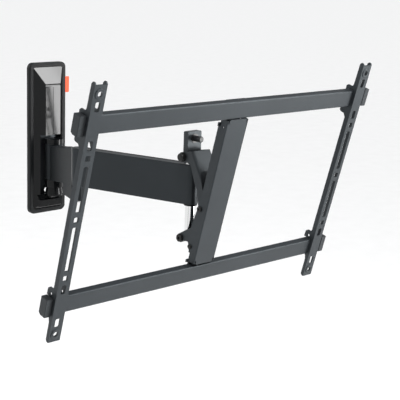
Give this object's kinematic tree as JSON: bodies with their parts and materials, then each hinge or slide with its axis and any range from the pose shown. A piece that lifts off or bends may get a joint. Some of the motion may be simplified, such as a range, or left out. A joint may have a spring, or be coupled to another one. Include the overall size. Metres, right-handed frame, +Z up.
{
  "type": "full motion tv wall mount",
  "caption": "Full motion wall mount for a large flat screen: covered wall plate, two-part folding arm, swivelling and tilting head, two crossbars and two screen strips.",
  "frame": {"origin": "centre of the wall plate's back face, on the wall", "axes": "+Z up, -Y out from the wall into the room, +X to the right as seen from the room"},
  "size_m": [0.657, 0.5353, 0.4182],
  "materials": {
    "powder_coat": "fine-textured matte black powder coat",
    "black_casting": "satin black paint on cast aluminium",
    "black_steel": "satin black paint on pressed steel",
    "gloss_black_plastic": "glossy black moulding",
    "matte_black_plastic": "fine-grained matte black moulding",
    "knob_plastic": "satin black fluted moulding",
    "orange_plastic": "plain bright orange film",
    "chrome_tube": "polished chrome plate",
    "bright_steel": "turned bright steel",
    "black_fastener": "black zinc-plated steel",
    "bearing_plastic": "dark grey bearing plastic"
  },
  "bodies": {
    "wall_base": {"wall_plate": "black_steel", "cover_rim": "matte_black_plastic", "upper_cover": "gloss_black_plastic", "lower_cover": "gloss_black_plastic", "bottom_cap": "gloss_black_plastic", "hinge_bracket": "black_steel", "upper_knuckle_cover": "gloss_black_plastic", "lower_knuckle_cover": "gloss_black_plastic", "hinge_pin": "bright_steel", "orange_tab": "orange_plastic"},
    "link": {"first_link": "black_casting", "link_cable_cover": "matte_black_plastic", "wall_bushes": "bearing_plastic", "elbow_pin": "bright_steel", "elbow_washer": "bearing_plastic"},
    "arm": {"main_arm": "black_casting", "arm_top_strip": "matte_black_plastic", "arm_cable_cover": "matte_black_plastic", "elbow_bushes": "bearing_plastic", "head_bushes": "bearing_plastic"},
    "head": {"swivel_tube": "chrome_tube", "head_washer": "bright_steel", "head_collar": "matte_black_plastic", "pivot_block": "black_casting"},
    "tilt_slider": {"slider_bar": "black_steel", "slider_rod": "bright_steel", "strut_upper_bolt": "black_fastener", "strut_spacers": "black_fastener", "knob_washer": "black_fastener"},
    "knob": {"tilt_knob": "knob_plastic"},
    "tilt_strut": {"strut": "black_steel"},
    "screen_frame": {"column": "powder_coat", "tilt_pivot_bolt": "black_fastener", "strut_lower_bolt": "black_fastener", "tilt_washers": "bearing_plastic", "flange_screws": "black_fastener", "joint_bolts": "black_fastener", "top_rail": "powder_coat", "bottom_rail": "powder_coat", "top_joint_plate": "powder_coat", "bottom_joint_plate": "powder_coat", "top_left_end_cap": "matte_black_plastic", "top_right_end_cap": "matte_black_plastic", "bottom_left_end_cap": "matte_black_plastic", "bottom_right_end_cap": "matte_black_plastic"},
    "strip_left": {"left_strip": "powder_coat"},
    "strip_right": {"right_strip": "powder_coat"}
  },
  "joints": [
    {"name": "wall_swivel", "type": "hinge", "parent": "wall_base", "child": "link", "pos_m": [0, -0.03, -0.038], "axis": [0, 0, 1], "range_deg": [-56, 94]},
    {"name": "elbow_swivel", "type": "hinge", "parent": "link", "child": "arm", "pos_m": [-0.04809, -0.17208, -0.038], "axis": [0, 0, -1], "range_deg": [-125, 74]},
    {"name": "head_swivel", "type": "hinge", "parent": "arm", "child": "head", "pos_m": [0.01786, -0.40284, -0.038], "axis": [0, 0, 1], "range_deg": [-69, 90]},
    {"name": "tilt", "type": "hinge", "parent": "head", "child": "screen_frame", "pos_m": [0.01786, -0.40536, -0.11556], "axis": [1, 0, 0], "range_deg": [-15, 0]},
    {"name": "tilt_slide", "type": "slide", "parent": "head", "child": "tilt_slider", "axis": [0, 0, 1], "range_m": [0, 0.0184]},
    {"name": "strut_lift", "type": "hinge", "parent": "screen_frame", "child": "tilt_strut", "pos_m": [0.01786, -0.4514, -0.05615], "axis": [1, 0, 0], "range_deg": [0, 26.5]},
    {"name": "knob_turn", "type": "hinge", "parent": "tilt_slider", "child": "knob", "pos_m": [0.01786, -0.40984, 0.056], "axis": [0, -1, 0], "range_deg": [0, 270]},
    {"name": "left_strip_slide", "type": "slide", "parent": "screen_frame", "child": "strip_left", "axis": [1, 0, 0], "range_m": [0, 0.2]},
    {"name": "right_strip_slide", "type": "slide", "parent": "screen_frame", "child": "strip_right", "axis": [-1, 0, 0], "range_m": [-0.009, 0.2]}
  ],
  "couplings": [
    {"joint": "tilt_slide", "follows": "tilt", "m_per_rad": -0.0699},
    {"joint": "strut_lift", "follows": "tilt", "ratio": -1.755}
  ]
}
